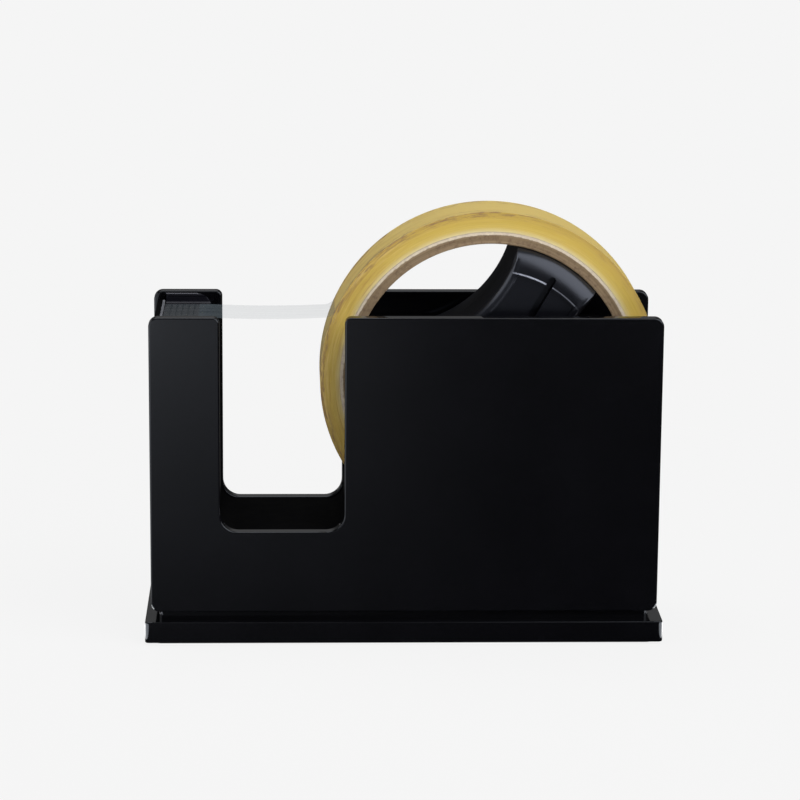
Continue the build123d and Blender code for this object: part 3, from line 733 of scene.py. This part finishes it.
CAD_FINISH = {
    "inner_frame": "frame_plastic",
    "foot_pad": "pad_rubber",
    "base_screws": "screw_steel",
    "ballast_bar": "ballast_iron",
    "ballast_tower": "ballast_iron",
    "ballast_screws": "screw_steel",
    "cutter_blade": "blade_steel",
    "head_screws": "screw_steel",
    "front_saddle": "frame_plastic",
    "rear_saddle": "frame_plastic",
    "reel_axle": "axle_steel",
    "front_washer": "washer_nylon",
    "rear_washer": "washer_nylon",
    "hub_screws": "screw_steel",
}


def finish_cad_nodes():
    """Materials of the pieces that show as their CAD nodes."""
    for name, finish in CAD_FINISH.items():
        for place in nodes[name].material_slots:
            place.material = FINISH[finish]


# Body ----------------------------------------------------------------------------------------

def panel_corners():
    """Right-angled corners of a panel as (x, z, radius), anticlockwise from the foot."""
    left, right = panel_low.x, panel_high.x
    foot, top = panel_low.z, panel_high.z
    notch_left = left + NOTCH_START
    notch_right = notch_left + NOTCH_WIDTH
    floor = top - NOTCH_DEPTH
    return [
        (left, foot, PANEL_CORNER),
        (right, foot, PANEL_CORNER),
        (right, top, PANEL_CORNER),
        (notch_right, top, NOTCH_MOUTH),
        (notch_right, floor, NOTCH_CORNER),
        (notch_left, floor, NOTCH_CORNER),
        (notch_left, top, NOTCH_MOUTH),
        (left, top, PANEL_CORNER),
    ]


def side_panel(name, node, low_y, high_y):
    """Polished panel with a small round along both faces."""
    levels = round_edge(low_y, 1, PANEL_EDGE) + round_edge(high_y, -1, PANEL_EDGE)[::-1]
    rings = []
    for inset, y in levels:
        rings.append([(u, y, v) for u, v in rounded_outline(panel_corners(), inset)])
    panel = make_object(name, *bridge(rings))
    dress(panel, "base", "gloss_panel", node)


def block_ring(half_x, half_y, radius, z, inset=0.0):
    """Level ring round a block with rounded corners."""
    corners = [
        (-half_x, -half_y, radius),
        (half_x, -half_y, radius),
        (half_x, half_y, radius),
        (-half_x, half_y, radius),
    ]
    return [(u, v, z) for u, v in rounded_outline(corners, inset)]


def base_slab():
    """Slab with softened edges, the set-back plinth on it and the pad's seat under it."""
    half_x, half_y = slab_high.x, slab_high.y
    slab_top = slab_high.z - PLINTH_HEIGHT
    seat = (pad_high.x + PAD_GAP, pad_high.y + PAD_GAP, PAD_CORNER + PAD_GAP)
    plinth = (panel_high.x - PLINTH_INSET, rear_high.y - PLINTH_INSET, BASE_CORNER)
    rings = [block_ring(*seat, pad_high.z), block_ring(*seat, slab_low.z)]
    for inset, z in round_edge(slab_low.z, 1, BASE_TOE, 3):
        rings.append(block_ring(half_x, half_y, BASE_CORNER, z, inset))
    for inset, z in round_edge(slab_top, -1, BASE_EDGE)[::-1]:
        rings.append(block_ring(half_x, half_y, BASE_CORNER, z, inset))
    rings.append(block_ring(*plinth, slab_top))
    rings.append(block_ring(*plinth, slab_high.z))
    slab = make_object("weighted_base", *bridge(rings))
    dress(slab, "base", "gloss_base", "base_plate")


# Cutter head ---------------------------------------------------------------------------------

def spaced(low, high, step):
    """Evenly spaced values from low to high, both included."""
    count = max(1, ceil((high - low) / step))
    return [low + (high - low) * index / count for index in range(count + 1)]


def head_sizes():
    """Half widths of the tape rest and of the basin, and where the basin's floor ends."""
    wall = head_high.y - HEAD_RIM_WIDTH
    return TAPE_HALF + PAD_GAP, wall, wall - HEAD_COVE


def head_height(x, y):
    """Upper surface of the cutter head at one place."""
    rim = head_high.z
    left, right = blade_back(), head_high.x
    basin = rim - BASIN_DEPTH
    rest_end = left + REST_LENGTH
    rest_half, wall, floor_half = head_sizes()
    side = abs(y)
    if side > wall:
        under = max(0.0, RIM_SOFT - (side - wall))
        z = rim - RIM_SOFT + sqrt(RIM_SOFT ** 2 - under ** 2)
    elif side > floor_half:
        z = basin + HEAD_COVE - sqrt(HEAD_COVE ** 2 - (side - floor_half) ** 2)
    elif x > rest_end:
        share = (x - rest_end) / (right - rest_end)
        z = basin - share * (LIP_BELOW_RIM - BASIN_DEPTH)
    elif side < rest_half:
        along = (x - left) / (REST_LENGTH / REST_RIBS)
        groove = int(along) > 0 and (along - int(along)) * REST_LENGTH / REST_RIBS < RIB_GROOVE
        z = basin + REST_HEIGHT - (RIB_GROOVE if groove else 0.0)
    else:
        z = basin
    nose_start = right - HEAD_NOSE
    if x > nose_start:
        z = min(z, rim - HEAD_NOSE + sqrt(max(0.0, HEAD_NOSE ** 2 - (x - nose_start) ** 2)))
    return z


def blade_back():
    """Face of the head behind the blade."""
    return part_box("cutter_blade")[1].x + PAD_GAP


def head_lines():
    """Grid lines of the head, doubled where the surface steps."""
    step = HEAD_STEP
    left, right = blade_back(), head_high.x
    rest_end = left + REST_LENGTH
    pitch = REST_LENGTH / REST_RIBS
    xs = [left]
    for index in range(1, REST_RIBS):
        start = left + index * pitch
        xs += [start - step, start + step, start + RIB_GROOVE - step, start + RIB_GROOVE + step]
    xs += [rest_end - step, rest_end + step]
    nose = right - HEAD_NOSE
    turns = [nose + HEAD_NOSE * sin(radians(turn)) for turn in range(0, 91, 5)]
    xs += [x for x in turns if x > rest_end + 2 * step]
    rest_half, wall, floor_half = head_sizes()
    side = [rest_half - step, rest_half + step, floor_half - step, floor_half + step]
    side += [floor_half + HEAD_COVE * sin(radians(turn)) for turn in range(9, 90, 9)]
    side += [wall - step, wall + step]
    side += [wall + RIM_SOFT * (1 - cos(radians(turn))) for turn in range(30, 91, 15)]
    side.append(head_high.y)
    middle = spaced(-rest_half + 2 * step, rest_half - 2 * step, HEAD_GRID)
    ys = [-y for y in reversed(side)] + middle + side
    return sorted(xs), ys


def cutter_head():
    """Basin with concave walls round the ribbed rest, as one grid with a skirt and a floor."""
    xs, ys = head_lines()
    verts = [(x, y, head_height(x, y)) for x in xs for y in ys]
    wide = len(ys)
    faces = grid_faces(len(xs), wide)
    border = list(range(wide))
    border += [column * wide + wide - 1 for column in range(1, len(xs))]
    border += [(len(xs) - 1) * wide + row for row in range(wide - 2, -1, -1)]
    border += [column * wide for column in range(len(xs) - 2, 0, -1)]
    start = len(verts)
    verts += [(verts[index][0], verts[index][1], head_low.z) for index in border]
    for index in range(len(border)):
        after = (index + 1) % len(border)
        faces.append((border[index], border[after], start + after, start + index))
    faces.append(tuple(range(start, start + len(border))))
    head = make_object("cutter_basin", verts, faces, 24)
    dress(head, "base", "head_plastic", "cutter_head")


# Reel ----------------------------------------------------------------------------------------

def hub_turns(count=HUB_POINTS):
    """Evenly spaced angles of one full turn."""
    return [2 * pi * index / count for index in range(count)]


def waist_offset(turn):
    """Angle from the nearest waist direction, in radians."""
    step = 2 * pi / HUB_LOBES
    first = radians(HUB_FIRST_LOBE) + step / 2
    return (turn - first + step / 2) % step - step / 2


def hub_reach(turn, radius, grow):
    """Radius of the lobed outline in one direction, for a disc radius and wider hollows."""
    aside = waist_offset(turn)
    flank = HUB_FLANK + grow
    under = flank ** 2 - (HUB_HOLLOW * sin(aside)) ** 2
    if under <= 0:
        return radius
    return min(radius, HUB_HOLLOW * cos(aside) - sqrt(under))


def hub_height(turn, radius):
    """Distance of the hub's face from the middle plane at one place."""
    share = min(1.0, max(0.0, (radius - HUB_FOOT) / (HUB_RADIUS - HUB_FOOT)))
    shoulder = HUB_SEAT + (HUB_HALF - HUB_BEAD - HUB_SEAT) * sqrt(1 - share ** 2)
    if radius < HUB_FOOT:
        share = min(1.0, max(0.0, (radius - HUB_FACE_RADIUS) / HUB_BEAD))
        shoulder = HUB_HALF - HUB_BEAD * (1 - sqrt(1 - share ** 2))
    across = 2 * radius * HUB_HOLLOW * cos(waist_offset(turn))
    away = sqrt(radius ** 2 + HUB_HOLLOW ** 2 - across) - HUB_FLANK
    share = min(1.0, max(0.0, 1 - away / HUB_EDGE))
    return min(shoulder, HUB_HALF - HUB_EDGE * (1 - sqrt(1 - share ** 2)))


def hub_ring(radius, grow, level=None):
    """Ring of (turn, radius, height) on the lobed outline; level None takes the hub's surface."""
    ring = []
    for turn in hub_turns():
        reach = hub_reach(turn, radius, grow)
        ring.append((turn, reach, hub_height(turn, reach) if level is None else level))
    return ring


def hub_half(name, node, side):
    """Half of the reel hub: lobed rim wall, rounded shoulder, bordered face and bored boss."""
    rings = [[(turn, HUB_BORE, HUB_HALF_GAP) for turn in hub_turns()]]
    rings += [hub_ring(HUB_RADIUS, 0.0, level) for level in (HUB_HALF_GAP, HUB_SEAT * 0.5)]
    for step in range(SHOULDER_STEPS + 1):
        turn = pi / 2 * step / SHOULDER_STEPS
        radius = HUB_RADIUS - (HUB_RADIUS - HUB_FOOT) * (1 - cos(turn))
        rings.append(hub_ring(radius, HUB_EDGE * (1 - cos(turn))))
    for turn in range(0, 91, 18):
        radius = HUB_FOOT - HUB_BEAD * sin(radians(turn)) - HUB_RING_GAP
        rings.append(hub_ring(radius, HUB_EDGE))
    inner = HUB_FACE_RADIUS - HUB_BEAD
    rings.append(hub_ring(inner, HUB_BORDER, HUB_HALF))
    floor = HUB_HALF - HUB_RECESS
    rings.append(hub_ring(inner - HUB_DRAFT, HUB_BORDER + HUB_DRAFT, floor))
    rings.append([(turn, HUB_BOSS + HUB_BOSS_DRAFT, floor) for turn in hub_turns()])
    rings.append([(turn, HUB_BOSS, HUB_HALF) for turn in hub_turns()])
    rings.append([(turn, HUB_BORE + HUB_BORE_EDGE, HUB_HALF) for turn in hub_turns()])
    rings.append([(turn, HUB_BORE, HUB_HALF - HUB_BORE_EDGE) for turn in hub_turns()])
    placed = []
    for ring in rings:
        placed.append([
            (ROLL_X + reach * cos(turn), side * height, ROLL_Z + reach * sin(turn))
            for turn, reach, height in ring
        ])
    hub = make_object(name, *bridge(placed, cap_first=False, cap_last=False, loop=True))
    tools = [hub_slot(side, index) for index in range(HUB_LOBES)]
    if side > 0:
        tools += [screw_hole(side, index) for index in range(HUB_LOBES)]
    cut(hub, *tools)
    hub.data.shade_smooth()
    hub.data.set_sharp_from_angle(angle=radians(28))
    dress(hub, "reel", "reel_plastic", node)


def hub_slot(side, index):
    """Round-ended cutter for the slot along one lobe."""
    turn = radians(HUB_FIRST_LOBE + index * 360 / HUB_LOBES)
    half = SLOT_WIDTH / 2
    outline = []
    for end, start in ((SLOT_OUTER - half, -pi / 2), (SLOT_INNER + half, pi / 2)):
        for step in range(SLOT_STEPS + 1):
            bow = start + pi * step / SLOT_STEPS
            along, across = end + half * cos(bow), half * sin(bow)
            x = along * cos(turn) - across * sin(turn)
            z = along * sin(turn) + across * cos(turn)
            outline.append((ROLL_X + x, ROLL_Z + z))
    levels = (HUB_HALF - SLOT_DEPTH, HUB_HALF + TOOL_OVER)
    rings = [[(x, side * level, z) for x, z in outline] for level in levels]
    return make_object("slot_cutter", *bridge(rings))


def screw_hole(side, index):
    """Round cutter for one sunk screw head in the rear half."""
    turn = radians(HUB_FIRST_LOBE + (index + 0.5) * 360 / HUB_LOBES)
    x = ROLL_X + HUB_SCREW_CIRCLE * cos(turn)
    z = ROLL_Z + HUB_SCREW_CIRCLE * sin(turn)
    circle = [(x + HUB_SCREW_HOLE * cos(a), z + HUB_SCREW_HOLE * sin(a)) for a in hub_turns(40)]
    levels = (HUB_HALF - HUB_SCREW_SINK, HUB_HALF + TOOL_OVER)
    rings = [[(x, side * level, z) for x, z in circle] for level in levels]
    return make_object("screw_cutter", *bridge(rings))


# Roll of tape --------------------------------------------------------------------------------

def board_ring():
    """Board core with slightly softened rims."""
    half = TAPE_HALF
    soft = CORE_EDGE
    profile = [(CORE_BORE, half - soft), (CORE_BORE, soft - half), (CORE_BORE + soft, -half)]
    profile += [(CORE_RADIUS - soft, -half), (CORE_RADIUS, soft - half), (CORE_RADIUS, half - soft)]
    profile += [(CORE_RADIUS - soft, half), (CORE_BORE + soft, half)]
    core = lathe("board_core", profile)
    dress(core, "reel", "core_card", "tape_core")


def tape_turns():
    """Winding whose turns stand in and out a little on both faces."""
    inner = CORE_RADIUS + WINDING_GAP
    faces = {}
    for side in (-1, 1):
        faces[side] = [
            (inner + (ROLL_RADIUS - inner) * index / WINDING_RINGS,
             side * (TAPE_HALF - random.random() * WINDING_STEP))
            for index in range(WINDING_RINGS + 1)
        ]
    profile = faces[-1] + faces[1][::-1]
    winding = lathe("tape_turns", profile, WINDING_POINTS, 40)
    dress(winding, "reel", "tape_roll", "tape_winding")


def tape_strand():
    """Free strand: a thin film with a slight crown across, turning up to meet the roll."""
    half = TAPE_HALF
    level = (tail_low.z + tail_high.z) / 2 - FILM_LEVEL + FILM_THICKNESS
    lift = ROLL_RADIUS + FILM_THICKNESS
    over = level + FILM_BEND - ROLL_Z
    meet = ROLL_X - sqrt((lift + FILM_BEND) ** 2 - over ** 2)
    line = []
    for x in spaced(tail_low.x, meet, FILM_STEP_LONG):
        share = max(0.0, (x - head_high.x) / (meet - head_high.x))
        line.append((x, level - FILM_SAG * 4 * share * (1 - share)))
    start = -pi / 2
    stop = atan2(over, meet - ROLL_X) - pi
    for step in range(1, FILM_BEND_STEPS + 1):
        turn = start + (stop - start) * step / FILM_BEND_STEPS
        line.append((meet + FILM_BEND * cos(turn), level + FILM_BEND * (1 + sin(turn))))
    rows = []
    for x, z in line:
        crown = FILM_CROWN * min(1.0, max(0.0, (x - head_high.x) / FILM_CROWN_REACH))
        ring = []
        for y in spaced(-half, half, FILM_STEP_WIDE):
            ring.append((x, y, z + crown * (1 - (y / half) ** 2)))
        rows.append(ring)
    verts = [point for row in rows for point in row]
    film = make_object("tape_strand", verts, grid_faces(len(rows), len(rows[0])), 60)
    dress(film, "axle", "tape_film", "tape_tail")


# Stage ---------------------------------------------------------------------------------------

BACKGROUND = rgb(245, 245, 245)


def emptied(owner):
    """Calls for the emptied node tree of a material or world."""
    owner.use_nodes = True
    owner.node_tree.nodes.clear()
    return Nodes(owner.node_tree)


def floor_material():
    """Pale floor: lit and shadowed round the object, and even background grey further out."""
    material = bpy.data.materials.new("pale_floor")
    tree = emptied(material)
    lit = tree.node("ShaderNodeBsdfDiffuse")
    even = tree.node("ShaderNodeEmission")
    tree.put(lit.inputs["Color"], BACKGROUND)
    tree.put(even.inputs["Color"], BACKGROUND)
    coords = tree.node("ShaderNodeTexCoord")
    length = tree.node("ShaderNodeVectorMath", operation="LENGTH")
    tree.put(length.inputs[0], coords.outputs["Object"])
    fade = tree.rescale(length.outputs["Value"], FLOOR_LIT, FLOOR_EVEN, FLOOR_EVENNESS, 1.0)
    rays = tree.node("ShaderNodeLightPath")
    seen = tree.math("MAXIMUM", rays.outputs["Is Camera Ray"], rays.outputs["Is Glossy Ray"])
    seen = tree.math("MAXIMUM", seen, rays.outputs["Is Transmission Ray"])
    surface = tree.mix_shaders(tree.times(seen, fade), lit.outputs["BSDF"],
                               even.outputs["Emission"])
    output = tree.node("ShaderNodeOutputMaterial")
    tree.put(output.inputs["Surface"], surface)
    return material


def sheet(name, low_x, high_x, low_y, high_y, lift, material):
    """Flat rectangle of the stage."""
    ring = [(low_x, low_y, lift), (high_x, low_y, lift), (high_x, high_y, lift),
            (low_x, high_y, lift)]
    obj = make_object(name, ring, [(0, 1, 2, 3)])
    obj.data.materials.append(material)
    return obj


def floor():
    """Wide floor under the object."""
    reach = FLOOR_REACH
    obj = sheet("floor", -reach, reach, -reach, reach, 0, floor_material())


def glow_material(name):
    """Emission material, the calls for its tree, and the socket of its strength."""
    material = bpy.data.materials.new(name)
    tree = emptied(material)
    glow = tree.node("ShaderNodeEmission")
    output = tree.node("ShaderNodeOutputMaterial")
    tree.put(output.inputs["Surface"], glow.outputs["Emission"])
    return material, tree, glow.inputs["Strength"]


def dark_card_material():
    """Dark card: paler towards the far left in front, and bright beyond the cutter end."""
    material, tree, strength = glow_material("dark_card")
    coords = tree.node("ShaderNodeTexCoord")
    x, y, _ = tree.split(coords.outputs["Object"])
    along = tree.ramp(tree.rescale(x, *CARD_ALONG, 0.0, 1.0), CARD_TONES)
    away = tree.rescale(y, *CARD_AWAY, *CARD_AWAY_TONES)
    beyond = tree.rescale(x, *BEYOND_ALONG, 0.0, BEYOND_GLOW)
    front = tree.rescale(y, *BEYOND_BACK, 1.0, 0.0)
    tree.put(strength, tree.math("ADD", tree.times(along, away), tree.times(beyond, front)))
    return material


def card(name, low_x, high_x, low_y, high_y, lift, material):
    """Flat card on the floor, which only reflections see."""
    obj = sheet(name, low_x, high_x, low_y, high_y, lift, material)
    obj.visible_camera = False
    obj.visible_diffuse = False
    obj.visible_shadow = False
    obj.visible_transmission = False


def cards():
    """Dark card under everything, and two small bright ones beside the slab's ends."""
    reach = CARD_REACH
    card("dark_card", -reach, reach, -reach, reach, CARD_LIFT, dark_card_material())
    bright, tree, strength = glow_material("kicker_card")
    tree.put(strength, KICKER_GLOW)
    near = slab_high.x + KICKER_GAP
    far = near + KICKER_LENGTH
    low = slab_low.y - KICKER_WIDTH / 2
    high = slab_low.y + KICKER_WIDTH / 2
    card("left_kicker", -far, -near, low, high, 2 * CARD_LIFT, bright)
    card("right_kicker", near, far, low, high, 2 * CARD_LIFT, bright)


def world():
    """Studio dome: dimmer at the horizon than overhead, and background grey where it is seen."""
    studio = bpy.data.worlds.new("studio")
    bpy.context.scene.world = studio
    tree = emptied(studio)
    coords = tree.node("ShaderNodeTexCoord")
    height = tree.split(coords.outputs["Generated"])[2]
    dome = tree.node("ShaderNodeBackground")
    tree.put(dome.inputs["Strength"], tree.ramp(height, DOME_TONES))
    seen = tree.node("ShaderNodeBackground")
    tree.put(seen.inputs["Color"], BACKGROUND)
    rays = tree.node("ShaderNodeLightPath")
    surface = tree.mix_shaders(rays.outputs["Is Camera Ray"], dome.outputs["Background"],
                               seen.outputs["Background"])
    output = tree.node("ShaderNodeOutputWorld")
    tree.put(output.inputs["Surface"], surface)


def lights():
    """Area lamps, each aimed at its target."""
    for name, (place, target, size, power) in LAMPS.items():
        data = bpy.data.lights.new(name, "AREA")
        data.shape = "RECTANGLE"
        data.size, data.size_y = size
        data.energy = power
        obj = bpy.data.objects.new(name, data)
        bpy.context.scene.collection.objects.link(obj)
        obj.location = place
        aim = Vector(target) - Vector(place)
        obj.rotation_euler = aim.to_track_quat("-Z", "Y").to_euler()


def camera():
    """Camera that sees the object as the photo does."""
    data = bpy.data.cameras.new("camera")
    data.lens = CAMERA_LENS
    data.sensor_width = CAMERA_SENSOR
    data.clip_start = CAMERA_CLIP
    down = radians(CAMERA_DOWN)
    aside = radians(-CAMERA_ASIDE)
    roll = radians(CAMERA_ROLL)
    ahead = Vector((-sin(aside) * cos(down), cos(aside) * cos(down), -sin(down)))
    level = Vector((cos(aside), sin(aside), 0.0))
    upright = level.cross(ahead)
    right = cos(roll) * level + sin(roll) * upright
    above = -sin(roll) * level + cos(roll) * upright
    turn = Matrix((right, above, -ahead)).transposed()
    obj = bpy.data.objects.new("camera", data)
    bpy.context.scene.collection.objects.link(obj)
    obj.matrix_world = Matrix.Translation(CAMERA_PLACE) @ turn.to_4x4()
    bpy.context.scene.camera = obj


finish_cad_nodes()
side_panel("front_sheet", "front_panel", panel_low.y, panel_high.y)
side_panel("rear_sheet", "rear_panel", rear_low.y, rear_high.y)
base_slab()
cutter_head()
hub_half("front_hub", "front_hub_half", -1)
hub_half("rear_hub", "rear_hub_half", 1)
board_ring()
tape_turns()
tape_strand()
floor()
cards()
world()
lights()
camera()
bpy.context.scene.view_settings.view_transform = "Standard"

bpy.context.view_layer.update()
